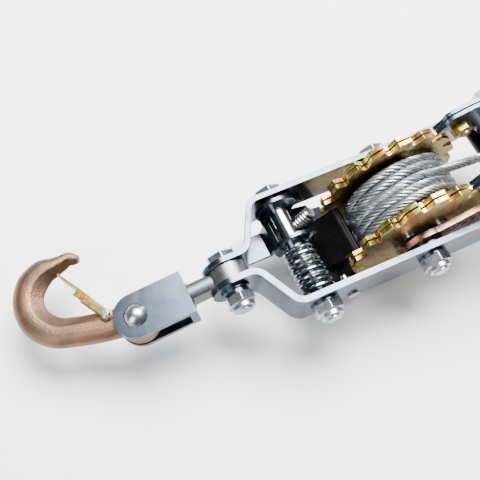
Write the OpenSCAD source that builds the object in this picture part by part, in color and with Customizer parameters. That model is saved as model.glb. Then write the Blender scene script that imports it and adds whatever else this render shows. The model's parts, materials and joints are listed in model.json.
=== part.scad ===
/* [Frame] */
// Distance across the outer faces of the two side straps
frame_w = 78; // [77:0.5:80]
// Width of the strap steel
strap_w = 30; // [28:1:32]
// From the drum axle forward to the front cross bolt
front_reach = 78; // [77:0.5:80]
// From the drum axle back to the stop pawl's pivot
pivot_reach = 77; // [76.5:0.1:77.5]
// From the drum axle back to the clevis bolt in the neck
neck_reach = 124; // [124:0.5:126]

/* [Drum] */
// Radius over the ratchet teeth
wheel_r = 48.5; // [48:0.1:48.6]
// Depth of a ratchet tooth
tooth_h = 6.5; // [6:0.1:7]
// Radius over the wound rope
winding_r = 37.2; // [36:0.1:37.5]
// Diameter of the wire rope
rope_d = 6; // [5:0.5:6]

/* [Lever] */
// Angle of the lever above the frame
lever_angle = 16; // [16:0.5:18]
// Length of the lever from the axle to the end of its grip
lever_length = 455; // [380:5:600]

/* [Anchor hook] */
// Turn of the hook about its rivet
hook_turn = 44; // [30:1:60]
// Drop of the whole anchor fitting about the clevis bolt
hook_drop = 8; // [0:1:12]

/* [Pawls] */
// How far the stop pawl stands out of the teeth
pawl_release = 8; // [7.5:0.5:9]
// How far the drive pawl stands out of the teeth
drive_release = 8; // [7.5:0.5:9]

/* [Hidden] */
$fn = 64;

steel = "silver";
zinc = "goldenrod";
bronze = "peru";
black = "dimgray";

strap_t = 4;                      // strap steel
side_y = frame_w / 2;             // outer face of a strap
inner_y = side_y - strap_t;       // inner face of a strap
neck_gap = 5.2;                   // half of the gap between the straps in the neck
bend_front = -94;                 // where the straps start to close in
bend_back = -109;                 // where they run parallel again
bend_r = 9;                       // radius of the strap bends on the middle of the steel
front_z = -6;                     // the front bolt sits low, under the rope

bolt_r = 5;                       // M10 shank
hex_af = 17;                      // M10 across flats
washer_t = 1.6;
neck_space = 4.6;                 // washers and thread between the neck and its nut
fit = 0.06;                       // running clearance on a radius

pivot_r = 6;                      // sleeve on the pivot bolt
axle_r = 8;                       // sleeve on the axle bolt
spacer_r = 6.6;                   // tube on the front bolt
core_r = 20;
wheel_y = 18;                     // inner face of each ratchet wheel from the middle
lamination_t = 3;
lamination_step = 3.8;            // from one lamination to the next
tooth_count = 16;
pitch = 360 / tooth_count;
tooth_phase = 170.5;              // angle of one steep tooth face
rake = 2.2;                       // how far the steep face leans back, in degrees
land = 13;                        // how far the top of a tooth reaches, in degrees
ramp = 6;                         // how far its back falls, in degrees

yoke_y = 28;                      // inner face of a lever plate
yoke_t = 4;
yoke_half = 16;                   // half width of a lever plate at the axle
fork_start = 135;                 // where the lever plates start to close in
fork_end = 168;                   // where they lie on the tube
tube_r = 15;
grip_length = 125;

eye_reach = 61.5;                  // clevis bolt to hook rivet
hook_reach = 51.4;                // rivet to middle of the bowl
bowl_r = 13.3;
hook_w = 20.4;
hook_t = 13.4;
yoke_arm_z = 7;                   // inner face of the swivel yoke's arms
arm_t = 4;
arm_r = 14.2;
bridge_x = -32;                   // back face of the swivel yoke's bridge

drive_x = 75;                     // pivot of the drive pawl
drive_z = 33;
strut_angle = 32.5;               // slope of the stop pawl, in the teeth

lead_drop = 9.4;                  // slope of the rope where it leaves the drum
pull_r = 34.2;                    // radius of the rope's centre line on the drum
ferrule_start = 94;
ferrule_end = 114;
link_x = 134;                     // centre of the thimble
link_r = 13.2;                    // radius of the rope round the thimble
run_bowl_r = 13;
run_reach = 62;

// the middle of the anchor hook's bowl is the origin of the part
bowl_x = -eye_reach - hook_reach * cos(hook_turn);
seat = [-neck_reach + bowl_x * cos(hook_drop), hook_reach * sin(hook_turn), bowl_x * sin(hook_drop)];

function polar(r, a) = [r * cos(a), r * sin(a)];
function arc(c, r, a0, a1, n = 8) = [for (i = [0:n]) c + polar(r, a0 + (a1 - a0) * i / n)];

// a flat bar that steps from ya at x0 to yb at x1 through two round bends, going toward -x
function bent_bar(x0, ca, cb, x1, ya, yb, t) = let (
    slope = atan2(ya - yb, ca - cb),
    cut = bend_r * tan(slope / 2),
    a = [ca + cut, ya - bend_r],
    b = [cb - cut, yb + bend_r],
    far = bend_r + t / 2,
    near = bend_r - t / 2
) concat(
    [[x0, ya - t / 2], [x0, ya + t / 2]],
    arc(a, far, 90, 90 + slope),
    arc(b, near, 270 + slope, 270),
    [[x1, yb + t / 2], [x1, yb - t / 2]],
    arc(b, far, 270, 270 + slope),
    arc(a, near, 90 + slope, 90)
);

// everything is drawn round the drum axle and moved to the origin here
module placed() translate(-seat) children();

// the anchor fitting hangs a little below the frame on its clevis bolt
module anchor_frame() placed() translate([-neck_reach, 0, 0]) rotate([0, -hook_drop, 0]) children();

module hook_frame() anchor_frame() translate([-eye_reach, 0, 0]) rotate([0, 0, 180 - hook_turn]) children();

// the lever's own frame: x runs out along the lever
module lever_frame() placed() rotate([0, -lever_angle, 0]) children();

// the stop pawl's frame: x runs from its pivot down to the teeth
module pawl_frame() placed() translate([-pivot_reach, 0, 0]) rotate([0, strut_angle + pawl_release, 0])
    children();

// the drive pawl is drawn in the teeth and turned out of them round its pivot
module drive_frame() placed() translate([drive_x, 0, drive_z]) rotate([0, drive_release, 0])
    translate([-drive_x, 0, -drive_z]) children();

// the rope's frame: x runs out along the centre line of the rope
module rope_frame() placed() rotate([0, lead_drop, 0]) translate([0, 0, pull_r]) children();

// an outline drawn in x and z, thick from y0 to y1
module along_y(y0, y1) translate([0, y1, 0]) rotate([90, 0, 0]) linear_extrude(y1 - y0) children();

module rod_y(r, y0, y1, x = 0, z = 0) translate([x, y1, z]) rotate([90, 0, 0])
    cylinder(r = r, h = y1 - y0);

module rod_x(r, x0, x1) translate([x0, 0, 0]) rotate([0, 90, 0]) cylinder(r = r, h = x1 - x0);

module hex_y(af, y0, y1) translate([0, y1, 0]) rotate([90, 30, 0])
    cylinder(d = af / cos(30), h = y1 - y0, $fn = 6);

// a hexagon bolt along y: its head beyond y1, its shank down to y0
module hex_bolt(y0, y1, af = hex_af, r = bolt_r) {
    hex_y(af, y1, y1 + r * 1.28);
    rod_y(r, y0, y1 + 1);
}

// a lock nut along y: its seat at y, its collar below
module lock_nut(y, af = hex_af, r = bolt_r) difference() {
    union() {
        hex_y(af, y - r * 1.2, y);
        rod_y(af / 2 - 1, y - r * 1.85, y - r);
    }
    rod_y(r + 0.05, y - r * 3, y + 1);
}

module ring_y(r, bore, y0, y1) difference() {
    rod_y(r, y0, y1);
    rod_y(bore, y0 - 1, y1 + 1);
}

// ---- frame ----

module frame_bolts() {
    for (x = [-pivot_reach, 0]) translate([x, 0, 0]) children();
    translate([front_reach, 0, front_z]) children();
}

module strap() difference() {
    intersection() {
        translate([0, 0, -strap_w / 2]) linear_extrude(strap_w)
            polygon(bent_bar(front_reach + 15, bend_front, bend_back, -neck_reach - 15,
                side_y - strap_t / 2, neck_gap + strap_t / 2, strap_t));
        union() {
            for (x = [-neck_reach, front_reach]) rod_y(strap_w / 2, 0, side_y + 1, x);
            translate([-neck_reach, 0, -strap_w / 2]) cube([neck_reach + front_reach, side_y + 1, strap_w]);
        }
    }
    frame_bolts() rod_y(bolt_r + 0.3, 0, side_y + 1);
    rod_y(bolt_r + 0.3, 0, side_y + 1, -neck_reach);
}

module strap_left() color(steel) placed() strap();

pin_x = -56;
pin_z = -8;
module strap_right() color(steel) placed() difference() {
    mirror([0, 1, 0]) strap();
    rod_y(2.55, -side_y - 1, 0, pin_x, pin_z);
}

module frame_bolt(x, z) placed() translate([x, 0, z]) hex_bolt(-side_y - washer_t - 11, side_y);

module clevis_bolt() color(steel) placed() translate([-neck_reach, 0, 0])
    hex_bolt(-neck_gap - strap_t - neck_space - 10.5, neck_gap + strap_t);

module pivot_bolt() color(steel) frame_bolt(-pivot_reach, 0);

module axle_bolt() color(steel) frame_bolt(0, 0);

module front_bolt() color(steel) frame_bolt(front_reach, front_z);

module frame_nuts() color(steel) placed() {
    frame_bolts() lock_nut(-side_y - washer_t);
    translate([-neck_reach, 0, 0]) lock_nut(-neck_gap - strap_t - neck_space);
}

module frame_washers() color(steel) placed() {
    frame_bolts() ring_y(9.6, bolt_r + 0.2, -side_y - washer_t, -side_y);
    translate([-neck_reach, -neck_gap - strap_t, 0]) {
        ring_y(9.6, bolt_r + 0.2, -washer_t, 0);
        ring_y(8, bolt_r + 0.2, -neck_space, -washer_t);
    }
}

module sleeve(r) ring_y(r, bolt_r + 0.1, -inner_y, inner_y);

module pivot_sleeve() color(steel) placed() translate([-pivot_reach, 0, 0]) sleeve(pivot_r);

module axle_sleeve() color(steel) placed() sleeve(axle_r);

module front_spacer() color(black) placed() translate([front_reach, 0, front_z]) sleeve(spacer_r);

module axle_spacers() color(steel) placed() for (s = [0, 180]) rotate([0, 0, s]) {
    ring_y(12, axle_r + fit, yoke_y + yoke_t + 0.4, inner_y);
    ring_y(11, axle_r + fit, wheel_y + lamination_step + lamination_t + 0.4, yoke_y - 0.4);
}

module spring_pin() color(steel) placed() translate([pin_x, 0, pin_z]) {
    rod_y(2.5, -side_y, -inner_y + 8);
    rod_y(4, -side_y - 1.5, -side_y);
    translate([0, -inner_y + 8, 0]) sphere(r = 2.5);
}

// ---- anchor fitting ----

module swivel_eye() color(steel) anchor_frame() difference() {
    union() {
        rod_y(13.5, -5, 5);
        rod_x(6, bridge_x - 8, -8);
        rod_x(8.5, bridge_x + 5.2, -8);
    }
    rod_y(bolt_r + fit, -10, 10);
    for (s = [0, 180]) rotate([s, 0, 0]) translate([-26, 5, -10]) cube([26, 5, 20]);
}

// a steel strap bent into a U, with round ends over and under the hook's eye
module swivel_yoke() color(steel) anchor_frame() difference() {
    union() {
        for (z = [-yoke_arm_z - arm_t, yoke_arm_z]) {
            translate([-eye_reach, 0, z]) cylinder(r = arm_r, h = arm_t);
            translate([-eye_reach, -arm_r, z]) cube([eye_reach + bridge_x + 2, 2 * arm_r, arm_t]);
        }
        translate([bridge_x, -arm_r, -yoke_arm_z - arm_t]) cube([5, 2 * arm_r, 2 * (yoke_arm_z + arm_t)]);
    }
    rod_x(6 + fit, bridge_x - 10, bridge_x + 10);
    translate([-eye_reach, 0, -20]) cylinder(r = 5.6, h = 40);
}

module swivel_nut() color(steel) anchor_frame() difference() {
    rod_x(6.9, bridge_x - 8, bridge_x - 0.3);
    rod_x(6, bridge_x - 20, bridge_x + 1);
}

module hook_rivet() color(steel) anchor_frame() translate([-eye_reach, 0, 0]) {
    cylinder(r = 5.5, h = 2 * (yoke_arm_z + arm_t), center = true);
    for (s = [0, 180]) rotate([s, 0, 0]) translate([0, 0, yoke_arm_z + arm_t]) difference() {
        translate([0, 0, -4.5]) sphere(r = 8.75);
        translate([0, 0, -20]) cube([40, 40, 40], center = true);
    }
}

// a forged hook lying in x and y: its bowl out along x, its shank rising from the origin
module hook_bend(reach, r, w, t, neck_w) {
    translate([reach, 0, 0]) {
        rotate([0, 0, -74]) rotate_extrude(angle = 202) {
            translate([r + t / 2, 0]) circle(d = t);
            translate([r + w - t / 2, 0]) circle(d = t);
            translate([r + t / 2, -t / 2]) square([w - t, t]);
        }
        rotate([0, 0, -76]) translate([r + w / 2 + 0.5, 0, -t * 0.4]) cylinder(r = w * 0.45, h = t * 0.8);
    }
    hull() {
        translate([4, 2, -t / 2 + 1]) cylinder(r = neck_w / 2, h = t - 2, $fn = 32);
        translate([reach, 0, 0]) rotate([0, 0, 128]) translate([r + w / 2, 0, -t / 2 + 1])
            cylinder(r = w / 2 - 0.4, h = t - 2, $fn = 32);
    }
}

// the sheet latch closes the throat from a pin through the hook's neck
latch_at = [18.5, 4.5];
ear_t = 1.2;

module latch_plate(length, wide, slope) rotate([0, 0, -slope]) difference() {
    union() {
        for (z = [-wide / 2 - 0.4 - ear_t, wide / 2 + 0.4]) translate([0, 0, z]) {
            cylinder(r = 3.8, h = ear_t);
            translate([0, -3, 0]) cube([length * 0.6, 5, ear_t]);
        }
        translate([length * 0.35, -3.6, -wide / 2 - 0.4 - ear_t])
            cube([length * 0.65, 1.4, wide + 0.8 + 2 * ear_t]);
    }
    cylinder(r = 1.5 + fit, h = 50, center = true);
}

module latch_pin(wide) {
    translate([0, 0, -wide / 2 - ear_t - 0.7]) cylinder(r = 1.5, h = wide + 2 * ear_t + 4);
    translate([0, 0, -wide / 2 - ear_t - 1.5]) cylinder(r = 2.4, h = 0.8);
    translate([0, 0, wide / 2 + ear_t + 3.1]) cylinder(r = 2.4, h = 0.8);
}

module latch_spring(wide) translate([0, 0, wide / 2 + ear_t + 0.6]) difference() {
    cylinder(r = 3.2, h = 2.2);
    cylinder(r = 1.6, h = 20, center = true);
}

module anchor_hook() color(bronze) hook_frame() difference() {
    union() {
        translate([0, 0, -hook_t / 2]) cylinder(r = 13.8, h = hook_t);
        hook_bend(hook_reach, bowl_r, hook_w, hook_t, 17);
    }
    cylinder(r = 5.5 + fit, h = 50, center = true);
    translate([latch_at[0], latch_at[1], 0]) cylinder(r = 1.55, h = 50, center = true);
}

module anchor_latch() color(zinc) hook_frame() translate([latch_at[0], latch_at[1], 0])
    latch_plate(42.6, hook_t, 16);

module anchor_latch_pin() color(steel) hook_frame() translate([latch_at[0], latch_at[1], 0])
    latch_pin(hook_t);

module anchor_latch_spring() color(steel) hook_frame() translate([latch_at[0], latch_at[1], 0])
    latch_spring(hook_t);

// ---- stop pawl ----

cheek_near = 3;                   // the carrier's cheeks stand on the sleeve from here
cheek_far = 30.2;                 // to here
cheek_t = 2.8;
cheek_r = 14;
web_z = -11.5;                    // top of the plate that joins the cheeks
web_t = 3;
web_x = -2;                       // back edge of that plate
screw_x = 17.5;
screw_y = 21;
screw_top = 11.5;

module pawl_carrier() color(steel) {
    pawl_frame() difference() {
        union() {
            for (y = [cheek_near, cheek_far]) ring_y(cheek_r, pivot_r + fit, y, y + cheek_t);
            translate([web_x, cheek_near, web_z - web_t])
                cube([30 - web_x, cheek_far + cheek_t - cheek_near, web_t]);
        }
        translate([screw_x, screw_y, -30]) cylinder(r = 4.05, h = 30);
    }
    placed() along_y(9, 26.5) polygon([[-87.5, -7], [-90, -16.6], [-111, -17.6], [-111, -20.4], [-88, -19.4],
        [-85.3, -9.5], [-82.6, -7.4], [-84.2, -4.8]]);
}

// a point on the ratchet wheel, in the pawl's frame, with the pawl in the teeth
function at_wheel(r, a) = [pivot_reach * cos(strut_angle), pivot_reach * sin(strut_angle)]
    + polar(r, a + strut_angle);
stop_face = tooth_phase + 2 * pitch - 0.7;
root_r = wheel_r - tooth_h;

module pawl_plate() color(black) pawl_frame() difference() {
    union() {
        along_y(-33, 33) polygon([[11, web_z], [14.5, -3.4], [30, 3.2], at_wheel(49.6, stop_face - 8.2),
            at_wheel(root_r + 1.2, stop_face - 2.6), at_wheel(root_r + 1.2, stop_face),
            at_wheel(51, stop_face), [40, -8.5], [27, web_z]]);
        along_y(-16, 16) polygon([[17.5, -4], [24.5, 20.5], [27.5, 23.8], [30.6, 21.4], [25, 1]]);
        rod_y(2.2, -16, 16, 28.4, 22);
    }
    translate([screw_x, screw_y, -20]) cylinder(r = 4.05, h = 50);
}

module pawl_screw() color(steel) pawl_frame() translate([screw_x, screw_y, 0]) {
    translate([0, 0, web_z - web_t]) cylinder(r = 4, h = screw_top - web_z + web_t);
    translate([0, 0, web_z - web_t - 5.3]) cylinder(d = 13 / cos(30), h = 5.3, $fn = 6);
}

module pawl_spring() color(steel) placed() translate([-pivot_reach, 0, 0])
    ring_y(11, 8.2, -inner_y + 0.3, cheek_near - 0.5);

// ---- drum ----

module drum_core() color(black) placed() difference() {
    rod_y(core_r, -wheel_y, wheel_y);
    rod_y(axle_r + fit, -40, 40);
    rivet_ring() rod_y(3, -40, 40);
}

module rivet_ring() for (a = [45:90:315]) rotate([0, a, 0]) translate([15.8, 0, 0]) children();

function tooth(a) = concat(
    [polar(root_r, a)],
    [for (i = [0:3]) polar(wheel_r - i * 0.3, a + rake + (land - rake) * i / 3)],
    [polar(root_r, a + land + ramp)]
);

module wheel(y) placed() difference() {
    along_y(y, y + lamination_t) polygon([for (k = [0:tooth_count - 1]) each tooth(tooth_phase + k * pitch)]);
    rod_y(axle_r + fit, -40, 40);
    rivet_ring() rod_y(3, -40, 40);
}

module wheel_left_outer() color(zinc) wheel(wheel_y + lamination_step);

module wheel_left_inner() color(zinc) wheel(wheel_y);

module wheel_right_inner() color(zinc) wheel(-wheel_y - lamination_t);

module wheel_right_outer() color(zinc) wheel(-wheel_y - lamination_step - lamination_t);

wheel_out = wheel_y + lamination_step + lamination_t;
module drum_rivets() color(steel) placed() rivet_ring() {
    rod_y(3, -wheel_out, wheel_out);
    for (s = [0, 180]) rotate([0, 0, s]) {
        rod_y(4.4, wheel_out, wheel_out + 1.6);
        ring_y(4.1, 3, wheel_y + lamination_t, wheel_y + lamination_step);
    }
}

module rope_winding() color(steel) placed() ring_y(winding_r, core_r + 0.1, -wheel_y + 0.4, wheel_y - 0.4);

// ---- lever ----

drive_reach = sqrt(drive_x * drive_x + drive_z * drive_z);
drive_raise = atan2(drive_z, drive_x) - lever_angle;
drive_at = polar(drive_reach, drive_raise);

module yoke_plate() difference() {
    intersection() {
        mirror([1, 0, 0]) translate([0, 0, -40]) linear_extrude(80)
            polygon(bent_bar(30, -fork_start, -fork_end, -222, yoke_y + yoke_t / 2,
                tube_r + 0.1 + yoke_t / 2, yoke_t));
        union() {
            rod_y(18.5, 0, 60);
            along_y(0, 60) polygon([[0, yoke_half], [150, 14], [150, -14], [0, -yoke_half]]);
            along_y(0, 60) polygon([[40, yoke_half], [drive_at[0] - 6, drive_at[1] + 9.5],
                [drive_at[0] + 6, drive_at[1] + 9.5], [110, 0], [40, 0]]);
            rod_y(11.5, 0, 60, drive_at[0], drive_at[1]);
            translate([150, 0, -14]) cube([58, 60, 28]);
            rod_y(14, 0, 60, 208);
        }
    }
    rod_y(axle_r + fit, 0, 60);
    rod_y(bolt_r + 0.1, 0, 60, drive_at[0], drive_at[1]);
    for (x = handle_bolt_x) rod_y(4.1, 0, 60, x);
}

handle_bolt_x = [180, 206];
module yoke_plate_left() color(zinc) lever_frame() yoke_plate();

module yoke_plate_right() color(zinc) lever_frame() mirror([0, 1, 0]) yoke_plate();

module handle_tube() color(steel) lever_frame() difference() {
    rod_x(tube_r, 164, lever_length - 4);
    rod_x(tube_r - 2.2, 160, lever_length);
    for (x = handle_bolt_x) rod_y(4.1, -60, 60, x);
}

module handle_grip() color(black) lever_frame() difference() {
    union() {
        rod_x(tube_r + 3, lever_length - grip_length, lever_length - 3);
        rod_x(tube_r + 1, lever_length - grip_length, lever_length);
        for (x = [0, grip_length - 12]) rod_x(tube_r + 5, lever_length - grip_length + x,
            lever_length - grip_length + x + 7);
    }
    rod_x(tube_r + 0.1, 0, lever_length - 3.9);
}

module handle_bolts() color(steel) lever_frame() for (x = handle_bolt_x) translate([x, 0, 0])
    hex_bolt(-tube_r - yoke_t - 8.5, tube_r + yoke_t + 0.1, 13, 4);

module handle_nuts() color(steel) lever_frame() for (x = handle_bolt_x) translate([x, 0, 0])
    lock_nut(-tube_r - yoke_t - 0.1, 13, 4);

// ---- drive pawl ----

drive_face = tooth_phase - 5 * pitch - 1.5;
drive_plate_y = wheel_y + 0.3;
drive_plate_t = 2.8;
drive_step = 3.4;
stud_at = [41, 38];

module drive_plate(y) difference() {
    union() {
        along_y(y, y + drive_plate_t) polygon(concat(
            [polar(root_r + 1.2, drive_face - 2.6), polar(root_r + 1.2, drive_face), polar(50.4, drive_face)],
            [[28.6, 46.7], [32, 49.5], [37.1, 51.8], [44, 54.4], [51.6, 56], [62, 56.6], [74, 54], [83, 48]],
            [polar(49.6, drive_face - 30), polar(49.9, drive_face - 20), polar(49.6, drive_face - 8.6)]
        ));
        rod_y(17, y, y + drive_plate_t, drive_x, drive_z);
    }
    rod_y(bolt_r + 1.6, -60, 60, drive_x, drive_z);
    rod_y(3.05, -60, 60, stud_at[0], stud_at[1]);
}

module drive_plate_left_outer() color(steel) drive_frame() drive_plate(drive_plate_y + drive_step);

module drive_plate_left_inner() color(steel) drive_frame() drive_plate(drive_plate_y);

module drive_plate_right_inner() color(steel) drive_frame() mirror([0, 1, 0]) drive_plate(drive_plate_y);

module drive_plate_right_outer() color(steel) drive_frame() mirror([0, 1, 0])
    drive_plate(drive_plate_y + drive_step);

drive_out = drive_plate_y + drive_step + drive_plate_t;
module drive_studs() color(zinc) drive_frame() translate([stud_at[0], 0, stud_at[1]]) for (s = [0, 180]) rotate([0, 0, s]) {
    rod_y(3, drive_plate_y - 7, drive_out + 0.8);
    hex_y(10, drive_plate_y - 5.2, drive_plate_y);
    rod_y(4.6, drive_out, drive_out + 1.6);
}

module drive_bolt() color(steel) placed() translate([drive_x, 0, drive_z])
    hex_bolt(-yoke_y - yoke_t - washer_t - 10, yoke_y + yoke_t);

module drive_nut() color(steel) placed() translate([drive_x, 0, drive_z]) {
    lock_nut(-yoke_y - yoke_t - washer_t);
    ring_y(9.6, bolt_r + 0.2, -yoke_y - yoke_t - washer_t, -yoke_y - yoke_t);
}

// the drive pawl's own tube turns on the bolt, with its side plates pressed on
module drive_sleeve() color(steel) placed() translate([drive_x, 0, drive_z])
    ring_y(bolt_r + 1.6, bolt_r + fit, -yoke_y + 0.4, yoke_y - 0.4);

module drive_spring() color(steel) placed() translate([drive_x, 0, drive_z])
    ring_y(10.4, bolt_r + 2.2, 5, drive_plate_y - 0.6);

// ---- rope and running hook ----

// the short straight part of the rope between the drum and its ferrule
lead_route = [[21, 0], [40, 0], [60, 0], [80, 0], [94, 0]];
lead_sides = 12;

module rope_lead() color(steel) rope_frame() polyhedron(
    points = [for (p = lead_route, k = [0:lead_sides - 1]) let (c = polar(rope_d / 2, 360 * k / lead_sides))
        [p[0], p[1] + c[0], c[1]]],
    faces = concat(
        [[for (k = [0:lead_sides - 1]) k]],
        [for (i = [0:len(lead_route) - 2], k = [0:lead_sides - 1]) let (
            a = i * lead_sides, n = (k + 1) % lead_sides)
            [a + k, a + lead_sides + k, a + lead_sides + n, a + n]],
        [[for (k = [lead_sides - 1:-1:0]) (len(lead_route) - 1) * lead_sides + k]]
    )
);

module rope_ferrule() color(steel) rope_frame() {
    for (y = [-3, 3]) translate([0, y, 0]) rod_x(4.8, ferrule_start, ferrule_end);
    translate([ferrule_start, -3, -4.8]) cube([ferrule_end - ferrule_start, 6, 9.6]);
}

module rope_loop() color(steel) rope_frame() {
    translate([link_x, 0, 0]) rotate([0, 0, -140]) rotate_extrude(angle = 280) translate([link_r, 0])
        circle(d = rope_d);
    for (s = [-1, 1]) translate([ferrule_end, s * 3, 0]) rotate([0, 90, s * 28.5]) cylinder(d = rope_d, h = 11.4);
}

module rope_thimble() color(steel) rope_frame() translate([link_x, 0, 0]) rotate_extrude() difference() {
    translate([8.6, -4.2]) square([4.2, 8.4]);
    translate([link_r, 0]) circle(r = rope_d / 2 + 0.1);
}

cheek_in = 4.7;                   // inner face of the running hook's fork
fork_t = 4.5;
module hook_pin() color(steel) rope_frame() translate([link_x, 0, 0]) {
    cylinder(r = 6, h = 2 * (cheek_in + fork_t), center = true);
    for (s = [0, 180]) rotate([s, 0, 0]) translate([0, 0, cheek_in + fork_t]) cylinder(r = 8.4, h = 2.2);
}

module running_hook() color(bronze) rope_frame() translate([link_x, 0, 0]) difference() {
    union() {
        for (z = [-cheek_in - fork_t, cheek_in]) translate([0, 0, z]) {
            cylinder(r = 12.5, h = fork_t);
            translate([0, -9, 0]) cube([24, 18, fork_t]);
        }
        translate([18.5, -9, -cheek_in - fork_t]) cube([8, 18, 2 * (cheek_in + fork_t)]);
        translate([22, 0, 0]) hook_bend(run_reach - 22, run_bowl_r, 16, 12, 15);
    }
    cylinder(r = 6 + fit, h = 50, center = true);
    translate([22 + run_latch_at[0], run_latch_at[1], 0]) cylinder(r = 1.55, h = 50, center = true);
}

run_latch_at = [14.5, 2.5];
module running_latch() color(zinc) rope_frame() translate([link_x + 22 + run_latch_at[0], run_latch_at[1], 0])
    latch_plate(30.5, 12, 29.3);

module running_latch_pin() color(steel) rope_frame()
    translate([link_x + 22 + run_latch_at[0], run_latch_at[1], 0]) latch_pin(12);

module running_latch_spring() color(steel) rope_frame()
    translate([link_x + 22 + run_latch_at[0], run_latch_at[1], 0]) latch_spring(12);

strap_left();
strap_right();
clevis_bolt();
pivot_bolt();
axle_bolt();
front_bolt();
frame_nuts();
frame_washers();
pivot_sleeve();
axle_sleeve();
front_spacer();
axle_spacers();
spring_pin();
swivel_eye();
swivel_yoke();
swivel_nut();
hook_rivet();
anchor_hook();
anchor_latch();
anchor_latch_pin();
anchor_latch_spring();
pawl_carrier();
pawl_plate();
pawl_screw();
pawl_spring();
drum_core();
wheel_left_outer();
wheel_left_inner();
wheel_right_inner();
wheel_right_outer();
drum_rivets();
rope_winding();
yoke_plate_left();
yoke_plate_right();
handle_tube();
handle_grip();
handle_bolts();
handle_nuts();
drive_plate_left_outer();
drive_plate_left_inner();
drive_plate_right_inner();
drive_plate_right_outer();
drive_studs();
drive_bolt();
drive_nut();
drive_sleeve();
drive_spring();
rope_lead();
rope_ferrule();
rope_loop();
rope_thimble();
hook_pin();
running_hook();
running_latch();
running_latch_pin();
running_latch_spring();
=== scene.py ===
import json
import math
import bpy
import bmesh
from mathutils import Matrix, Vector
from mathutils.kdtree import KDTree


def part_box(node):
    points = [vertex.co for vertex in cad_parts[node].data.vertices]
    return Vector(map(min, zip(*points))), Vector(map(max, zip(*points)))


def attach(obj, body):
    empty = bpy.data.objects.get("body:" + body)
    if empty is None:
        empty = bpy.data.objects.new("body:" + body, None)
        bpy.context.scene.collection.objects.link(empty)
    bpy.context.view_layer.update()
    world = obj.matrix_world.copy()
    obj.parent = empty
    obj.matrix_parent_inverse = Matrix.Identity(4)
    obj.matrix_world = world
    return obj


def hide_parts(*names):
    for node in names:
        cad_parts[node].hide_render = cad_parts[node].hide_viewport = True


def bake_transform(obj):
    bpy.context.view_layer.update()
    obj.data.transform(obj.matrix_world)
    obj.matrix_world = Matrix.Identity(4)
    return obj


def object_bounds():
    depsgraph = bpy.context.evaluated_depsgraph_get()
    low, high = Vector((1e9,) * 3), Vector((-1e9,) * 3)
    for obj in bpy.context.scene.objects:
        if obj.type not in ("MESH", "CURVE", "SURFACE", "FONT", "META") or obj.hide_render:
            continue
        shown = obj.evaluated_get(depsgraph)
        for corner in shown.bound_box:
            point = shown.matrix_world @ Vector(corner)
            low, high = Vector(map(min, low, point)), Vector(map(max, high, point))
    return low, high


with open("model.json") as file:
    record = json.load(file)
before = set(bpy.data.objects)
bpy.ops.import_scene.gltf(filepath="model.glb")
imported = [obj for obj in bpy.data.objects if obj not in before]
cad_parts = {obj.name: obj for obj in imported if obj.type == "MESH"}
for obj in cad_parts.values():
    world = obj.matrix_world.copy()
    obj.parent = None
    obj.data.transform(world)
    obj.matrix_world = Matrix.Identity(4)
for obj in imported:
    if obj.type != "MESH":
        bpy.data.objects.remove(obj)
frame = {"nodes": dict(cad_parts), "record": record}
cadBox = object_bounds()
mm = 0.001
bodyOf = {node: body for body, nodes in frame["record"]["behaviour"]["bodies"].items() for node in nodes}


def middle(node):
    low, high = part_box(node)
    return (Vector(low) + Vector(high)) / 2


def turn(degrees, axis):
    return Matrix.Rotation(math.radians(degrees), 4, axis)


def shift(x, y, z):
    return Matrix.Translation((x * mm, y * mm, z * mm))


# the frames that the winch is drawn in, each at rest
rig = {"leverAngle": 16, "hookDrop": 8, "hookTurn": 44, "strutSlope": 40.5, "leadDrop": 9.4,
       "pivotReach": 77, "neckReach": 124, "eyeReach": 61.5, "pullRadius": 34.2, "linkAt": 134,
       "driveAt": (75, 33), "frontAt": (78, -6)}
axleFrame = Matrix.Translation(middle("rope_winding"))
leverFrame = axleFrame @ turn(-rig["leverAngle"], "Y")
ropeFrame = axleFrame @ turn(rig["leadDrop"], "Y") @ shift(0, 0, rig["pullRadius"])
anchorFrame = axleFrame @ shift(-rig["neckReach"], 0, 0) @ turn(-rig["hookDrop"], "Y")
hookFrame = anchorFrame @ shift(-rig["eyeReach"], 0, 0) @ turn(180 - rig["hookTurn"], "Z")
pawlFrame = axleFrame @ shift(-rig["pivotReach"], 0, 0) @ turn(rig["strutSlope"], "Y")
runFrame = ropeFrame @ shift(rig["linkAt"], 0, 0)

# ---- camera ----

camera = {"lens": 57.95, "sensor": 36, "place": (-205.6, -160.5, 446.6),
          "look": (0.1998, 0.368, -0.9081), "up": (0.3701, 0.8298, 0.4177)}


def makeCamera():
    data = bpy.data.cameras.new("camera")
    data.lens = camera["lens"]
    data.sensor_width = camera["sensor"]
    data.clip_start = 0.01
    eye = bpy.data.objects.new("camera", data)
    back = -Vector(camera["look"]).normalized()
    side = Vector(camera["up"]).cross(back).normalized()
    turned = Matrix((side, back.cross(side), back)).transposed().to_4x4()
    eye.matrix_world = axleFrame @ shift(*camera["place"]) @ turned
    bpy.context.collection.objects.link(eye)
    bpy.context.scene.camera = eye


makeCamera()
print("camera set")


# ---- materials ----

def linear(code):
    parts = [int(code[i:i + 2], 16) / 255 for i in (1, 3, 5)]
    return [c / 12.92 if c <= 0.04045 else ((c + 0.055) / 1.055) ** 2.4 for c in parts] + [1]


def addNode(material, kind, links=None, **settings):
    # one node: settings are its own properties, or its sockets' values by name
    node = material.node_tree.nodes.new(kind)
    for name, value in settings.items():
        if hasattr(node, name):
            setattr(node, name, value)
        else:
            node.inputs[name.replace("_", " ")].default_value = value
    for name, source in (links or {}).items():
        material.node_tree.links.new(source, node.inputs[name])
    return node


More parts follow.
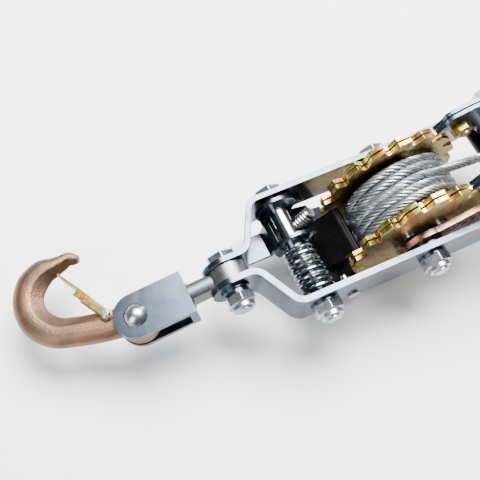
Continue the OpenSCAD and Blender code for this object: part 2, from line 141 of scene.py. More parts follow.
def newMaterial(name, **sockets):
    material = bpy.data.materials.new(name)
    material.use_nodes = True
    shader = material.node_tree.nodes["Principled BSDF"]
    for socket, value in sockets.items():
        shader.inputs[socket.replace("_", " ")].default_value = value
    return material, shader


def link(material, source, target):
    material.node_tree.links.new(source, target)


def colourRamp(material, factor, stops):
    ramp = addNode(material, "ShaderNodeValToRGB", {"Fac": factor})
    while len(ramp.color_ramp.elements) < len(stops):
        ramp.color_ramp.elements.new(0.5)
    for element, (place, code) in zip(ramp.color_ramp.elements, stops):
        element.position = place
        element.color = linear(code)
    return ramp.outputs["Color"]


def valueRange(material, factor, low, high):
    node = addNode(material, "ShaderNodeMapRange", {"Value": factor})
    node.inputs["To Min"].default_value = low
    node.inputs["To Max"].default_value = high
    return node.outputs["Result"]


def grainNoise(material, place, sizeMm, detail=3, rough=0.5, warp=0):
    node = addNode(material, "ShaderNodeTexNoise", {"Vector": place}, Scale=1 / (sizeMm * mm),
                   Detail=detail, Roughness=rough, Distortion=warp)
    return node.outputs["Fac"]


def bumped(material, shader, height, depthMm, strength=1):
    node = addNode(material, "ShaderNodeBump", {"Height": height}, Distance=depthMm * mm, Strength=strength)
    link(material, node.outputs["Normal"], shader.inputs["Normal"])


def mapped(material, scale=(1, 1, 1), centre=(0, 0, 0), angles=(0, 0, 0), source="Object"):
    coords = addNode(material, "ShaderNodeTexCoord")
    node = addNode(material, "ShaderNodeMapping", {"Vector": coords.outputs[source]}, Scale=scale,
                   Location=centre, Rotation=[math.radians(a) for a in angles])
    return node.outputs["Vector"]


def platedMetal(name, look):
    # electroplated steel: the plating follows the rolled or forged skin beneath, so the colour drifts in
    # soft clouds, the gloss is broken by fine scratches and the surface is never quite flat
    material, shader = newMaterial(name, Metallic=1.0)
    place = mapped(material)
    clouds = grainNoise(material, place, look["cloudMm"], 3, 0.55, 0.6)
    link(material, colourRamp(material, clouds, look["colours"]), shader.inputs["Base Color"])
    scratches = grainNoise(material, mapped(material, look["drawn"]), look["scratchMm"], 2, 0.6)
    link(material, valueRange(material, scratches, *look["rough"]), shader.inputs["Roughness"])
    skin = grainNoise(material, place, look["grainMm"], 3, 0.6)
    bumped(material, shader, skin, look["depthMm"])
    return material


finishes = {
    # blue-bright zinc: pale, cool and slightly milky, with long faint rolling lines
    "blueZinc": {"cloudMm": 22, "scratchMm": 1.2, "grainMm": 1.6, "depthMm": 0.025, "rough": (0.2, 0.3),
                 "drawn": (0.2, 1, 1),
                 "colours": ((0.3, "#454d56"), (0.5, "#59626b"), (0.7, "#4b5260"))},
    # yellow chromate over zinc: straw and gold that turns rose and green where the film is thicker
    "yellowZinc": {"cloudMm": 6, "scratchMm": 0.9, "grainMm": 1.5, "depthMm": 0.03, "rough": (0.22, 0.4),
                   "drawn": (0.3, 1, 0.3),
                   "colours": ((0.3, "#6f6a34"), (0.42, "#a08a4c"), (0.5, "#b5a565"), (0.57, "#a3803f"),
                               (0.61, "#bf4a26"), (0.65, "#a98e50"), (0.72, "#8a9140"))},
    # the lever plates took a thicker film, so they lean to rose between gold edges
    "roseZinc": {"cloudMm": 26, "scratchMm": 1.4, "grainMm": 1.8, "depthMm": 0.03, "rough": (0.2, 0.36),
                 "drawn": (0.25, 1, 1),
                 "colours": ((0.3, "#94803f"), (0.42, "#b18474"), (0.55, "#b98a88"), (0.66, "#ad8468"),
                             (0.74, "#8f8c48"))},
    # the same chromate on a drop-forged skin: brown-gold with rose and olive, and a blasted grain
    "forgedBronze": {"cloudMm": 30, "scratchMm": 0.8, "grainMm": 1.0, "depthMm": 0.3, "rough": (0.34, 0.5),
                     "drawn": (1, 1, 1),
                     "colours": ((0.34, "#6f6a3c"), (0.45, "#6a5647"), (0.53, "#775f4e"), (0.64, "#86614a"))},
    # plated spring wire and turned pins: the brightest metal on the winch
    "brightWire": {"cloudMm": 8, "scratchMm": 0.6, "grainMm": 1.5, "depthMm": 0.02, "rough": (0.12, 0.26),
                   "drawn": (1, 1, 1),
                   "colours": ((0.3, "#8e989f"), (0.7, "#b9c0c4"))},
    # zinc fasteners: a little duller than the wire, bluish on the flats
    "zincFastener": {"cloudMm": 7, "scratchMm": 0.5, "grainMm": 0.9, "depthMm": 0.04, "rough": (0.2, 0.36),
                     "drawn": (1, 1, 1),
                     "colours": ((0.3, "#8d959c"), (0.6, "#bcc2c7"))},
    # plated over a rough pressing, so a browner grey than the straps
    "dullZinc": {"cloudMm": 12, "scratchMm": 0.9, "grainMm": 1.1, "depthMm": 0.08, "rough": (0.26, 0.46),
                 "drawn": (1, 0.3, 1),
                 "colours": ((0.3, "#666b70"), (0.5, "#7d7c77"), (0.7, "#6f7a86"))},
}
metals = {name: platedMetal(name, look) for name, look in finishes.items()}


def blackOxide(name, paintedHighlight=None):
    # hot black oxide on steel: a thin dark skin with a dry satin gloss that rubs brown-grey in places;
    # one given a painted highlight is painted lighter grey from a given reach outward along the pawl's nose
    material, shader = newMaterial(name, Metallic=0.9)
    place = mapped(material)
    rubbed = grainNoise(material, place, 6, 4, 0.6, 0.4)
    skin = colourRamp(material, rubbed, ((0.35, "#060607"), (0.62, "#0b0b0d"), (0.78, "#1c1a18")))
    if paintedHighlight:
        seat, start = paintedHighlight
        axis = seat.to_3x3() @ Vector((1, 0, 0))
        reach = addNode(material, "ShaderNodeVectorMath", {0: place}, operation="DOT_PRODUCT")
        reach.inputs[1].default_value = axis
        zero = axis.dot(seat.translation)
        edge = addNode(material, "ShaderNodeMapRange", {"Value": reach.outputs["Value"]})
        edge.inputs["From Min"].default_value = zero + start * mm
        edge.inputs["From Max"].default_value = zero + (start + 1.6) * mm
        # painted highlight: from the given reach outward the dark skin is lifted to a lighter grey
        highlightGrey = colourRamp(material, edge.outputs["Result"], ((0, "#000000"), (1, "#3c3840")))
        both = addNode(material, "ShaderNodeVectorMath", {0: skin, 1: highlightGrey}, operation="ADD")
        skin = both.outputs["Vector"]
    link(material, skin, shader.inputs["Base Color"])
    link(material, valueRange(material, grainNoise(material, place, 1.2), 0.3, 0.5),
         shader.inputs["Roughness"])
    bumped(material, shader, grainNoise(material, place, 0.8, 3), 0.06)
    return material


def wireRope():
    # galvanised strands: dull zinc on small round wires, with painted shade darkening them down in the lay
    # and, on the drum, between turns
    material, shader = newMaterial("galvanisedRope", Metallic=1.0)
    clouds = grainNoise(material, mapped(material), 7, 3, 0.6)
    zinc = colourRamp(material, clouds, ((0.3, "#8b9093"), (0.5, "#a9adb0"), (0.7, "#979b9e")))
    lay = addNode(material, "ShaderNodeAttribute", attribute_name="outward")
    # painted shade: the zinc is darkened towards black down in the lay and between turns on the drum
    layShade = colourRamp(material, lay.outputs["Fac"], ((0.3, "#000000"), (0.62, "#ffffff")))
    dark = addNode(material, "ShaderNodeVectorMath", operation="MULTIPLY")
    link(material, zinc, dark.inputs[0])
    link(material, layShade, dark.inputs[1])
    link(material, dark.outputs["Vector"], shader.inputs["Base Color"])
    link(material, valueRange(material, grainNoise(material, mapped(material), 1.5), 0.3, 0.5),
         shader.inputs["Roughness"])
    bumped(material, shader, grainNoise(material, mapped(material), 0.5, 2), 0.03)
    return material


def mouldedRubber():
    # soft vinyl rubber: nearly black, a fine eggshell texture and a dull broad highlight
    material, shader = newMaterial("mouldedRubber", IOR=1.52, Metallic=0.0)
    place = mapped(material)
    dust = grainNoise(material, place, 18, 4, 0.6)
    link(material, colourRamp(material, dust, ((0.3, "#0a0a0b"), (0.7, "#121314"))),
         shader.inputs["Base Color"])
    link(material, valueRange(material, dust, 0.42, 0.56), shader.inputs["Roughness"])
    bumped(material, shader, grainNoise(material, place, 0.7, 2), 0.08)
    return material


ropeLook = {"diameter": 6, "strands": 6, "strandRadius": 1.0, "strandRing": 1.98, "lay": 24, "step": 2.0,
            "layers": (28.6, 34.0), "layerTurn": 0.4, "pitch": 5.8, "halfWidth": 14.55, "extraTurn": 0.62,
            "wobble": 0.3, "wobbleRate": 2.3, "crossTurn": 0.95, "crossLift": 2.6, "leadStart": 1.5,
            "leadEnd": 94}
metals["blackOxide"] = blackOxide("blackOxide")
# the pawl's nose gets a painted highlight: lighter grey from 31 mm out along the pawl
metals["pawlOxide"] = blackOxide("pawlOxide", (pawlFrame, 31))
metals["galvanisedRope"] = wireRope()
metals["mouldedRubber"] = mouldedRubber()
print("materials made")


# ---- small tools ----

def keep(mesh, name, body, material, nodes=(), smooth=35):
    # a finished piece: its place is in its mesh, it rides on its body and stands for its CAD nodes
    mesh.materials.clear()
    mesh.materials.append(metals[material])
    for face in mesh.polygons:
        face.use_smooth = True
    mesh.set_sharp_from_angle(angle=math.radians(smooth))
    piece = bpy.data.objects.new(name, mesh)
    bpy.context.collection.objects.link(piece)
    if body:
        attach(piece, body)
    if nodes:
        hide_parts(*nodes)
    return piece


def meshOf(bm, name):
    mesh = bpy.data.meshes.new(name)
    bmesh.ops.recalc_face_normals(bm, faces=bm.faces)
    bm.to_mesh(mesh)
    bm.free()
    return mesh


def addThread(bm, seat, spec):
    # a helical ridge round the frame's x axis, from spec start to end
    perTurn = 20
    turns = abs(spec["end"] - spec["start"]) / spec["pitch"]
    ridge = [(-0.42, -0.5), (0.42, -0.5), (0, spec["proud"])]
    verts = []
    for along, out in ridge:
        spot = seat @ Vector(((spec["start"] + along * spec["pitch"]) * mm, 0, (spec["radius"] + out) * mm))
        verts.append(bm.verts.new(spot))
    edges = [bm.edges.new((verts[i], verts[(i + 1) % 3])) for i in range(3)]
    direction = (seat.to_3x3() @ Vector((1, 0, 0))) * math.copysign(1, spec["end"] - spec["start"])
    bmesh.ops.spin(bm, geom=verts + edges, cent=seat.translation, axis=direction,
                   dvec=direction * spec["pitch"] * mm / perTurn, angle=turns * 2 * math.pi,
                   steps=max(3, int(turns * perTurn)), use_merge=False)


def dressed(node, material, edge=0.35, threads=(), segments=2, sharp=28):
    # a hard part with its edges broken, as tumbling and plating leave them, and its threads cut
    bm = bmesh.new()
    bm.from_mesh(frame["nodes"][node].data)
    bmesh.ops.remove_doubles(bm, verts=bm.verts, dist=0.002 * mm)
    bmesh.ops.dissolve_limit(bm, angle_limit=math.radians(0.6), verts=bm.verts, edges=bm.edges)
    corners = [e for e in bm.edges if len(e.link_faces) == 2 and e.calc_face_angle() > math.radians(sharp)]
    if edge:
        bmesh.ops.bevel(bm, geom=corners, offset=edge * mm, offset_type="OFFSET", affect="EDGES",
                        segments=segments, profile=0.5, material=-1, clamp_overlap=True)
    for seat, spec in threads:
        addThread(bm, seat, spec)
    bmesh.ops.triangulate(bm, faces=[f for f in bm.faces if len(f.verts) > 4])
    piece = keep(meshOf(bm, node), node + "_finished", bodyOf[node], material, (node,))
    weights = piece.modifiers.new("flats", "WEIGHTED_NORMAL")  # flats stay flat beside their rounded edges
    weights.keep_sharp = True
    return piece


def wireMesh(name, paths, radius, sides=1, closed=False):
    # round wire along each path: a curve with a round section, made a mesh
    curve = bpy.data.curves.new(name, "CURVE")
    curve.dimensions = "3D"
    curve.bevel_depth = radius * mm
    curve.bevel_resolution = sides
    curve.use_fill_caps = not closed
    curve.twist_mode = "MINIMUM"
    for path in paths:
        spline = curve.splines.new("POLY")
        spline.points.add(len(path) - 1)
        for point, place in zip(spline.points, path):
            point.co = (*place, 1)
        spline.use_cyclic_u = closed
    holder = bpy.data.objects.new(name, curve)
    bpy.context.collection.objects.link(holder)
    graph = bpy.context.evaluated_depsgraph_get()
    mesh = bpy.data.meshes.new_from_object(holder.evaluated_get(graph))
    bpy.data.objects.remove(holder)
    bm = bmesh.new()
    bm.from_mesh(mesh)
    bmesh.ops.remove_doubles(bm, verts=bm.verts, dist=0.002 * mm)
    bmesh.ops.recalc_face_normals(bm, faces=bm.faces)
    bm.to_mesh(mesh)
    bm.free()
    return mesh


# ---- rope ----

def laidStrands(path, look):
    # the centre lines of the strands that twist right-handed round a path
    radius = look["strandRing"] * mm
    strands = [[] for k in range(look["strands"])]
    along = 0
    side = None
    for i, spot in enumerate(path):
        ahead = path[min(i + 1, len(path) - 1)] - path[max(i - 1, 0)]
        ahead.normalize()
        if side is None:
            side = ahead.orthogonal()
        side = (side - ahead * side.dot(ahead)).normalized()
        across = ahead.cross(side)
        if i:
            along += (spot - path[i - 1]).length
        for k, strand in enumerate(strands):
            angle = 2 * math.pi * (along / (look["lay"] * mm) + k / look["strands"])
            strand.append(spot + (side * math.cos(angle) + across * math.sin(angle)) * radius)
    return strands


def markLay(mesh, path, seat=None):
    # how far out of the lay each spot of a strand is, 0 down in the valley to 1 on its crown, which drives the
    # rope's painted shade;
    # on the drum the sides that face the next turn count as down too, so they get the painted shade as well
    look = {"valley": 1.7, "crown": 2.98, "half": 3}
    tree = KDTree(len(path))
    for i, spot in enumerate(path):
        tree.insert(spot, i)
    tree.balance()
    back = seat.inverted() if seat else None
    outward = []
    for v in mesh.vertices:
        near, i = tree.find(v.co)[:2]
        ahead = (path[min(i + 1, len(path) - 1)] - path[max(i - 1, 0)]).normalized()
        off = v.co - near
        out = ((off - ahead * off.dot(ahead)).length / mm - look["valley"]) / (look["crown"] - look["valley"])
        if seat:
            here, middleLine = back @ v.co, back @ near
            rise = (math.hypot(here.x, here.z) - math.hypot(middleLine.x, middleLine.z)) / mm / look["half"]
            out = min(out, rise + 0.55)
        outward.append(min(1, max(0, out)))
    mesh.attributes.new("outward", "FLOAT", "POINT").data.foreach_set("value", outward)


def windingPath(look):
    # layer on layer, side to side, ending where the rope runs straight out to the hook
    points = []
    stepAngle = look["step"] / look["layers"][-1]
    half = look["halfWidth"]
    turns = 2 * half / look["pitch"]
    top = math.radians(90 - rig["leadDrop"])
    for level, radius in enumerate(look["layers"]):
        last = level == len(look["layers"]) - 1
        sweep = (turns + (look["extraTurn"] if last else 0)) * 2 * math.pi
        steps = int(sweep / stepAngle)
        for i in range(steps + 1):
            left = (steps - i) * stepAngle
            share = i / steps
            y = half - 2 * half * min(1, share * sweep / (turns * 2 * math.pi))
            if level % 2:
                y = -y
            lift = radius
            if last:
                y, lift = crossing(y, lift, left, look)
            y += look["wobble"] * math.sin(look["wobbleRate"] * left + 5 * level) * (1 if left > 1 else left)
            points.append(Vector((lift * mm, y * mm, top + left + level * look["layerTurn"])))
    return points


def crossing(y, radius, left, look):
    # the last turn rides up and slants back over the others to the middle, where it leaves the drum
    reach = look["crossTurn"] * 2 * math.pi
    if left > reach:
        return y, radius
    share = 1 - left / reach
    eased = share * share * (3 - 2 * share)
    hump = math.sin(math.pi * min(1, share * 1.1)) * look["crossLift"]
    return y * (1 - eased), radius + max(0, hump)


def makeRope():
    look = ropeLook
    polar = windingPath(look)
    path = [axleFrame @ Vector((p.x * math.cos(p.z), p.y, p.x * math.sin(p.z))) for p in polar]
    strands = laidStrands(path, look)
    winding = wireMesh("rope_turns", strands, look["strandRadius"], 2)
    markLay(winding, path, axleFrame)
    keep(winding, "rope_turns", "drum", "galvanisedRope", ("rope_winding",))
    route = [ropeFrame @ Vector((x * mm, 0, 0)) for x in (1.5, 20, 40, 60, 80, 94)]
    count = int((look["leadEnd"] - look["leadStart"]) / look["step"])
    fine = [route[0].lerp(route[-1], i / count) for i in range(count + 1)]
    strands = laidStrands(fine, look)
    straight = wireMesh("rope_straight", strands, look["strandRadius"], 2)
    markLay(straight, fine)
    lead = keep(straight, "rope_straight", None, "galvanisedRope", ("rope_lead",))
    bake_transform(lead)
    return lead, route


lead, leadRoute = makeRope()
print("rope laid")


def ropeEye():
    # the rope turned back round its thimble, both legs going into the ferrule
    look = {"radius": 13.2, "half": 142, "legs": 3.0, "start": -20}
    mouth = look["half"]
    arc = [Vector((math.cos(math.radians(a)), math.sin(math.radians(a)), 0)) * look["radius"]
           for a in range(-mouth, mouth + 1, 6)]
    path = [Vector((look["start"], -look["legs"], 0))] + arc + [Vector((look["start"], look["legs"], 0))]
    smooth = []
    for a, b in zip(path, path[1:]):
        parts = max(1, int((b - a).length / ropeLook["step"]))
        smooth += [a.lerp(b, i / parts) for i in range(parts)]
    smooth.append(path[-1])
    bent = [runFrame @ (p * mm) for p in smooth]
    strands = laidStrands(bent, ropeLook)
    mesh = wireMesh("rope_eye", strands, ropeLook["strandRadius"], 2)
    markLay(mesh, bent)
    keep(mesh, "rope_eye", "rope_end", "galvanisedRope", ("rope_loop",))


def finishRopeEnd():
    # an aluminium ferrule pressed in dies: a stadium with rounded ends
    look = {"length": 20, "half": 3, "radius": 4.8, "start": -40}
    bm = bmesh.new()
    for side in (-1, 1):
        bmesh.ops.create_cone(bm, cap_ends=True, segments=32, radius1=look["radius"] * mm,
                              radius2=look["radius"] * mm, depth=look["length"] * mm,
                              matrix=shift(0, side * look["half"], 0) @ turn(90, "Y"))
    bmesh.ops.create_cube(bm, size=1, matrix=Matrix.Diagonal((look["length"] * mm, 6 * mm, 9.6 * mm, 1)))
    bmesh.ops.transform(bm, matrix=runFrame @ shift(look["start"] + look["length"] / 2, 0, 0), verts=bm.verts)
    mesh = remeshed(meshOf(bm, "rope_ferrule"), 0.55, 3)
    keep(mesh, "ferrule_pressed", "rope_end", "dullZinc", ("rope_ferrule",))


def remeshed(mesh, voxel, smoothing):
    # overlapping closed forms become one skin, and the joins soften
    holder = bpy.data.objects.new("remeshing", mesh)
    bpy.context.collection.objects.link(holder)
    remesh = holder.modifiers.new("skin", "REMESH")
    remesh.mode = "VOXEL"
    remesh.voxel_size = voxel * mm
    soften = holder.modifiers.new("soften", "SMOOTH")
    soften.iterations = smoothing
    graph = bpy.context.evaluated_depsgraph_get()
    made = bpy.data.meshes.new_from_object(holder.evaluated_get(graph))
    bpy.data.objects.remove(holder)
    return made


ropeEye()
finishRopeEnd()
print("rope end made")


# ---- springs ----

def helix(radius, turns, start, end, phase=0, perTurn=28):
    # a coil round x: its pitch follows from its length and its turns
    count = int(turns * perTurn)
    return [Vector((start + (end - start) * i / count, radius * math.cos(phase + 2 * math.pi * i / perTurn),
                    radius * math.sin(phase + 2 * math.pi * i / perTurn))) for i in range(count + 1)]


def placedPath(seat, points):
    return [seat @ (p * mm) for p in points]


def alongY(seat):
    # the same seat with its x axis along the part's y, for coils and threads round cross bolts
    return seat @ turn(90, "Z")


def makeSprings():
    # the stop pawl's torsion spring: one leg on the spring pin, one on the carrier
    pawl = {"radius": 9.6, "wire": 1.35, "turns": 8.6, "from": 0.8, "to": -33.0, "phase": 2.4,
            "nearLeg": ((0.4, -4, 7), (0.2, -1.5, 3)), "farLeg": ((-0.1, -6, 3.0), (-0.2, -14, 5.5))}
    seat = alongY(axleFrame @ shift(-rig["pivotReach"], 0, 0))
    coil = helix(pawl["radius"], pawl["turns"], pawl["from"], pawl["to"], pawl["phase"])
    nearLeg = [coil[0] + Vector(step) for step in pawl["nearLeg"]]
    farLeg = [coil[-1] + Vector(step) for step in pawl["farLeg"]]
    mesh = wireMesh("pawl_spring", [placedPath(seat, nearLeg + coil + farLeg)], pawl["wire"], 3)
    keep(mesh, "pawl_spring_coil", "frame", "brightWire", ("pawl_spring",))
    # the drive pawl's spring inside the lever
    drive = {"radius": 8.9, "wire": 1.3, "turns": 4.2, "from": 6.4, "to": 16.4, "phase": 0.5}
    seat = alongY(axleFrame @ shift(rig["driveAt"][0], 0, rig["driveAt"][1]))
    coil = helix(drive["radius"], drive["turns"], drive["from"], drive["to"], drive["phase"])
    mesh = wireMesh("drive_spring", [placedPath(seat, coil)], drive["wire"], 3)
    keep(mesh, "drive_spring_coil", "drive_pawl", "brightWire", ("drive_spring",))
    # the latches' small torsion springs, on the ends of their pins
    small = {"radius": 2.45, "wire": 0.55, "turns": 2.2, "from": 0.6, "to": 2.2,
             "leg": ((0, -1, 3), (0, -3, 6))}
    for node, seat, top in (("anchor_latch_spring", hookFrame @ shift(18.5, 4.5, 0), 8.5),
                            ("running_latch_spring", runFrame @ shift(36.5, 2.5, 0), 7.8)):
        upright = seat @ turn(-90, "Y")
        coil = helix(small["radius"], small["turns"], top + small["from"], top + small["to"])
        leg = [coil[-1] + Vector(step) for step in small["leg"]]
        mesh = wireMesh(node, [placedPath(upright, coil + leg)], small["wire"], 2)
        keep(mesh, node + "_coil", bodyOf[node], "brightWire", (node,))


makeSprings()
print("springs wound")


# ---- forged hooks ----

hooks = {
    "anchor_hook": {"seat": hookFrame, "reach": 51.4, "inner": 12.2, "wide": 21.5, "thick": 13.4, "eye": 13.8,
                    "body": "anchor_hook", "eyeThick": 13.4, "shankEnd": (5, 1.5, 0), "bow": 1.2},
    "running_hook": {"seat": runFrame @ shift(22, 0, 0), "reach": 40, "inner": 13, "wide": 16, "thick": 12,
                     "eye": 0, "body": "running_hook", "eyeThick": 0, "shankEnd": (1, 0, 0), "bow": 0.6},
}


# round the bowl from the beak to the shank, in degrees: how far the inner face stands off the bowl in mm,
# and the bar's width and thickness as shares of the hook's own
barShape = ((-80, 8.4, 0.36, 0.66), (-72, 7.8, 0.43, 0.73), (-60, 4.2, 0.53, 0.82), (-45, 1.6, 0.65, 0.91),
            (-28, 0.5, 0.86, 0.98), (0, 0.3, 0.98, 1), (24, 1.2, 0.945, 1), (60, 1.3, 0.94, 1),
            (90, 1.3, 0.94, 1), (120, 2.2, 0.9, 1))
# how the beak's end is rounded: mm past its last section, and the share of that section's size
noseRound = ((3.6, 0.35), (3.0, 0.68), (1.5, 0.9))
forging = {"sides": 24, "squareness": 2.5, "innerDraft": 0.8, "draftFrom": 0.22, "backRound": 0.3,
           "voxel": 0.6, "smoothing": 2}


def hookStations(look):
    # places along the hook with the bar's heading, width and thickness there
    spots = []
    for angle in range(barShape[0][0], barShape[-1][0] + 1, 4):
        after = next(i for i in range(1, len(barShape)) if barShape[i][0] >= angle)
        low, high = barShape[after - 1], barShape[after]
        share = (angle - low[0]) / (high[0] - low[0])
        lift, wide, thick = [low[k] + (high[k] - low[k]) * share for k in (1, 2, 3)]
        wide *= look["wide"]
        ring = look["inner"] + lift + wide / 2
        spots.append((Vector((look["reach"] + ring * math.cos(math.radians(angle)),
                              ring * math.sin(math.radians(angle)), 0)), wide, thick * look["thick"]))
    last, wide, thick = spots[-1]
    end = Vector(look["shankEnd"])
    for share in (0.2, 0.4, 0.6, 0.8, 1):
        bow = Vector((0, 1, 0)) * look["bow"] * math.sin(math.pi * share)
        spots.append((last.lerp(end, share) + bow, wide, thick))
    stations = []
    for i, (spot, wide, thick) in enumerate(spots):
        way = spots[min(i + 1, len(spots) - 1)][0] - spots[max(i - 1, 0)][0]
        stations.append((spot, math.degrees(math.atan2(way.y, way.x)), wide, thick))
    return stations


def sectionAt(seat, station, scale=1):
    spot, heading, wide, thick = station
    return (seat @ Matrix.Translation(spot * mm) @ turn(heading, "Z") @ turn(90, "Y")
            @ Matrix.Diagonal((thick / 2 * scale * mm, wide / 2 * scale * mm, 1, 1)))


def wedgeRing(ring, place, draft):
    # the forging's draft: the inner face slopes from both flats to the parting line, the back is round
    back = place.inverted()
    for v in ring:
        spot = back @ v.co
        inner = max(0, (spot.y - forging["draftFrom"]) / (1 - forging["draftFrom"]))
        outer = max(0, (-spot.y - 0.4) / 0.6)
        spot.x *= 1 - forging["innerDraft"] * draft * inner - forging["backRound"] * outer ** 2
        v.co = place @ spot


def forgedHook(node, look):
    bm = bmesh.new()
    seat = look["seat"]
    stations = hookStations(look)
    nose = stations[0]
    ahead = Vector((math.cos(math.radians(nose[1])), math.sin(math.radians(nose[1])), 0))
    rounds = [(nose[0] - ahead * out, nose[1], nose[2] * share, nose[3] * share) for out, share in noseRound]
    stations = rounds + stations
    ring = bmesh.ops.create_circle(bm, cap_ends=True, radius=1, segments=forging["sides"])["verts"]
    power = forging["squareness"]
    for v in ring:
        angle = math.atan2(v.co.y, v.co.x)
        squared = (abs(math.cos(angle)) ** power + abs(math.sin(angle)) ** power) ** (-1 / power)
        v.co = Vector((math.cos(angle) * squared, math.sin(angle) * squared, 0))
    before = sectionAt(seat, stations[0])
    bmesh.ops.transform(bm, matrix=before, verts=ring)
    edges = bm.edges[:]
    rings = [(ring, before)]
    for station in stations[1:]:
        after = sectionAt(seat, station)
        grown = bmesh.ops.extrude_edge_only(bm, edges=edges)["geom"]
        ring = [g for g in grown if isinstance(g, bmesh.types.BMVert)]
        edges = [g for g in grown if isinstance(g, bmesh.types.BMEdge)]
        bmesh.ops.transform(bm, matrix=after @ before.inverted(), verts=ring)
        before = after
        rings.append((ring, before))
    bmesh.ops.contextual_create(bm, geom=edges)
    for i, (ring, place) in enumerate(rings):
        draft = min(1, max(0, (len(rings) - 1 - i) / 6))
        wedgeRing(ring, place, draft)
    if look["eye"]:
        eyeRound(bm, seat, look["eye"], look["eyeThick"])
    else:
        forkOfHook(bm, seat)
    mesh = remeshed(meshOf(bm, node), forging["voxel"], forging["smoothing"])
    keep(mesh, node + "_forged", look["body"], "forgedBronze", (node,), 60)


def eyeRound(bm, seat, radius, thick):
    made = bmesh.ops.create_cone(bm, cap_ends=True, segments=48, radius1=radius * mm, radius2=radius * mm,
                                 depth=thick * mm, matrix=seat)
    rims = [e for e in {e for v in made["verts"] for e in v.link_edges} if e.calc_face_angle() > 1]
    bmesh.ops.bevel(bm, geom=rims, offset=2 * mm, offset_type="OFFSET", affect="EDGES", segments=3,
                    profile=0.5, material=-1)


def forkOfHook(bm, seat):
    # the running hook's two cheeks stand either side of the rope's thimble
    fork = {"inner": 4.7, "thick": 4.5, "radius": 12.5, "wide": 18, "long": 24, "back": -22,
            "bridge": 8, "bridgeAt": 0.5}
    for side in (-1, 1):
        z = side * (fork["inner"] + fork["thick"] / 2)
        bmesh.ops.create_cone(bm, cap_ends=True, segments=40, radius1=fork["radius"] * mm,
                              radius2=fork["radius"] * mm, depth=fork["thick"] * mm,
                              matrix=seat @ shift(fork["back"], 0, z))
        bmesh.ops.create_cube(bm, size=1, matrix=seat @ shift(fork["back"] + fork["long"] / 2, 0, z)
                              @ Matrix.Diagonal((fork["long"] * mm, fork["wide"] * mm, fork["thick"] * mm, 1)))
    deep = 2 * (fork["inner"] + fork["thick"])
    bmesh.ops.create_cube(bm, size=1, matrix=seat @ shift(fork["bridgeAt"], 0, 0)
                          @ Matrix.Diagonal((fork["bridge"] * mm, fork["wide"] * mm, deep * mm, 1)))


for node, look in hooks.items():
    forgedHook(node, look)
print("hooks forged")


# ---- frame, wheels, lever and fasteners ----

def crossThread(x, z, radius, start, end, pitch, seat=axleFrame):
    return alongY(seat @ shift(x, 0, z)), {"radius": radius, "start": start, "end": end, "pitch": pitch,
                                           "proud": 0.25}


# an M8 screw's 1.25 mm pitch is too fine to show, so the screw's is drawn coarser
threadPitch = {"m10": 1.5, "m8": 2.3}
boltThreads = {
    "pivot_bolt": [crossThread(-rig["pivotReach"], 0, 5, -49.4, -50.8, threadPitch["m10"])],
    "axle_bolt": [crossThread(0, 0, 5, -49.4, -50.8, threadPitch["m10"])],
    "front_bolt": [crossThread(*rig["frontAt"], 5, -49.4, -50.8, threadPitch["m10"])],
    "clevis_bolt": [crossThread(-rig["neckReach"], 0, 5, -22.6, -23.6, threadPitch["m10"])],
    "drive_bolt": [crossThread(*rig["driveAt"], 5, -42.4, -43.4, threadPitch["m10"])],
    "pawl_screw": [(pawlFrame @ shift(17.5, 21, 0) @ turn(-90, "Y"),
                    {"radius": 4, "start": -1.2, "end": 10.4, "pitch": threadPitch["m8"], "proud": 0.6})],
}
finishOf = {
    "blueZinc": ("strap_left", "strap_right", "swivel_yoke", "axle_spacers", "pawl_carrier",
                 "drive_plate_left_outer", "drive_plate_left_inner", "drive_plate_right_inner",
                 "drive_plate_right_outer", "frame_washers"),
    "yellowZinc": ("wheel_left_outer", "wheel_left_inner", "wheel_right_inner", "wheel_right_outer",
                   "anchor_latch", "running_latch", "drive_studs"),
    "roseZinc": ("yoke_plate_left", "yoke_plate_right"),
    "zincFastener": ("clevis_bolt", "pivot_bolt", "axle_bolt", "front_bolt", "frame_nuts", "handle_bolts",
                     "handle_nuts", "drive_bolt", "drive_nut", "swivel_nut", "pawl_screw", "hook_rivet",
                     "hook_pin", "anchor_latch_pin", "running_latch_pin"),
    "brightWire": ("pivot_sleeve", "axle_sleeve", "spring_pin", "drive_sleeve", "drum_rivets"),
    "dullZinc": ("swivel_eye", "rope_thimble"),
    "blackOxide": ("front_spacer", "drum_core"),
    "pawlOxide": ("pawl_plate",),
}
edgeOf = {"swivel_yoke": 1.1, "strap_left": 0.45, "strap_right": 0.45, "frame_washers": 0.2, "frame_nuts": 0.5,
          "wheel_left_outer": 0.3, "wheel_left_inner": 0.3, "wheel_right_inner": 0.3, "wheel_right_outer": 0.3,
          "anchor_latch": 0.25, "running_latch": 0.25, "anchor_latch_pin": 0.3, "running_latch_pin": 0.3,
          "clevis_bolt": 0.55, "pivot_bolt": 0.55, "axle_bolt": 0.55, "front_bolt": 0.55, "pawl_carrier": 0.5,
          "pawl_plate": 0.45, "yoke_plate_left": 0.5, "yoke_plate_right": 0.5, "hook_rivet": 0.1}
for finish, nodes in finishOf.items():
    for node in nodes:
        dressed(node, finish, edgeOf.get(node, 0.3), boltThreads.get(node, ()))
print("hard parts dressed")


# ---- handle ----

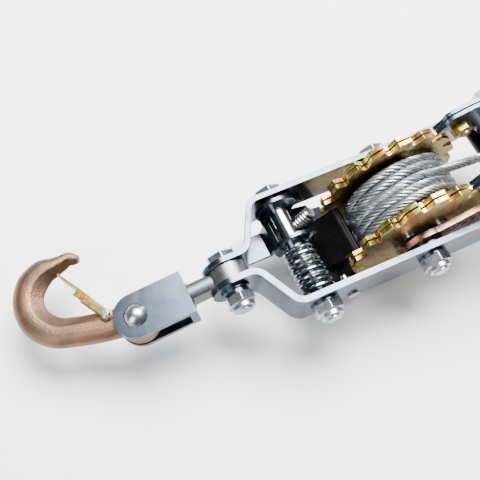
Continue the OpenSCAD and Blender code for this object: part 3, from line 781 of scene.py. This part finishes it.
def makeHandle():
    # a zinc tube with a moulded rubber sleeve: flanged, ribbed along its length and closed at the end
    grip = {"start": 330, "end": 455, "bore": 15.1, "core": 18.0, "flange": 20.0, "ribs": 14, "ribDepth": 0.9}
    profile = [(grip["start"], grip["bore"]), (grip["start"], 18.8), (grip["start"] + 0.8, 19.8),
               (grip["start"] + 2.6, 20.0), (grip["start"] + 5.6, 19.6), (grip["start"] + 9, 18.2),
               (grip["start"] + 16, 18.0), (grip["start"] + 60, 18.5), (grip["end"] - 20, 18.0),
               (grip["end"] - 13, 18.4), (grip["end"] - 10.5, 19.8), (grip["end"] - 8, 20.0),
               (grip["end"] - 5.6, 19.2), (grip["end"] - 3, 17.6), (grip["end"] - 0.8, 14.5),
               (grip["end"] - 0.1, 9), (grip["end"] - 0.1, 0)]
    bm = bmesh.new()
    verts = [bm.verts.new((x * mm, 0, r * mm)) for x, r in profile]
    edges = [bm.edges.new(pair) for pair in zip(verts, verts[1:])]
    bmesh.ops.subdivide_edges(bm, edges=edges, cuts=3, use_grid_fill=False)
    bmesh.ops.spin(bm, geom=bm.verts[:] + bm.edges[:], cent=(0, 0, 0), axis=(1, 0, 0), dvec=(0, 0, 0),
                   angle=2 * math.pi, steps=112, use_merge=True)
    bmesh.ops.remove_doubles(bm, verts=bm.verts, dist=0.01 * mm)
    for v in bm.verts:
        radius = math.hypot(v.co.y, v.co.z)
        share = min(1, max(0, (v.co.x / mm - grip["start"] - 14) / 6),
                    max(0, (grip["end"] - 18 - v.co.x / mm) / 6))
        if radius > 17 * mm and share > 0:
            wave = math.cos(grip["ribs"] * math.atan2(v.co.z, v.co.y))
            drop = grip["ribDepth"] * mm * share * max(0, -wave - 0.2)
            v.co.y *= 1 - drop / radius
            v.co.z *= 1 - drop / radius
    bmesh.ops.transform(bm, matrix=leverFrame, verts=bm.verts)
    keep(meshOf(bm, "grip"), "grip_moulded", "lever", "mouldedRubber", ("handle_grip",), 50)
    dressed("handle_tube", "blueZinc", 0.3)


makeHandle()
print("handle made")


# ---- floor and light ----

def softBox(name, place, target, size, power, tint="#ffffff"):
    light = bpy.data.lights.new(name, "AREA")
    light.shape = "RECTANGLE"
    light.size, light.size_y = size
    light.energy = power
    light.color = linear(tint)[:3]
    holder = bpy.data.objects.new(name, light)
    holder.matrix_world = Matrix.Translation(place)
    holder.rotation_euler = (Vector(target) - Vector(place)).to_track_quat("-Z", "Y").to_euler()
    holder.location = place
    bpy.context.collection.objects.link(holder)


def makeStage():
    low, high = cadBox
    bm = bmesh.new()
    bmesh.ops.create_grid(bm, x_segments=1, y_segments=1, size=4)
    bmesh.ops.translate(bm, vec=(0.3, 0, low[2] - 0.0005), verts=bm.verts)
    mesh = bpy.data.meshes.new("floor")
    bm.to_mesh(mesh)
    bm.free()
    material, shader = newMaterial("paleFloor", Roughness=0.6)
    shader.inputs["Base Color"].default_value = linear("#fbfbfb")
    mesh.materials.append(material)
    floor = bpy.data.objects.new("floor", mesh)
    bpy.context.collection.objects.link(floor)
    centre = axleFrame.translation
    softBox("key", centre + Vector((0.25, 0.45, 1.15)), centre, (1.0, 0.8), 92)
    softBox("fill", centre + Vector((-1.0, -0.35, 0.7)), centre, (0.4, 0.9), 10)
    softBox("rim", centre + Vector((1.0, 0.9, 0.5)), centre, (0.3, 0.9), 9, "#e6f0ff")
    world = bpy.data.worlds.new("studio")
    world.use_nodes = True
    world.node_tree.nodes["Background"].inputs["Color"].default_value = linear("#c9d4de")
    world.node_tree.nodes["Background"].inputs["Strength"].default_value = 0.26
    bpy.context.scene.world = world


makeStage()
print("stage set")
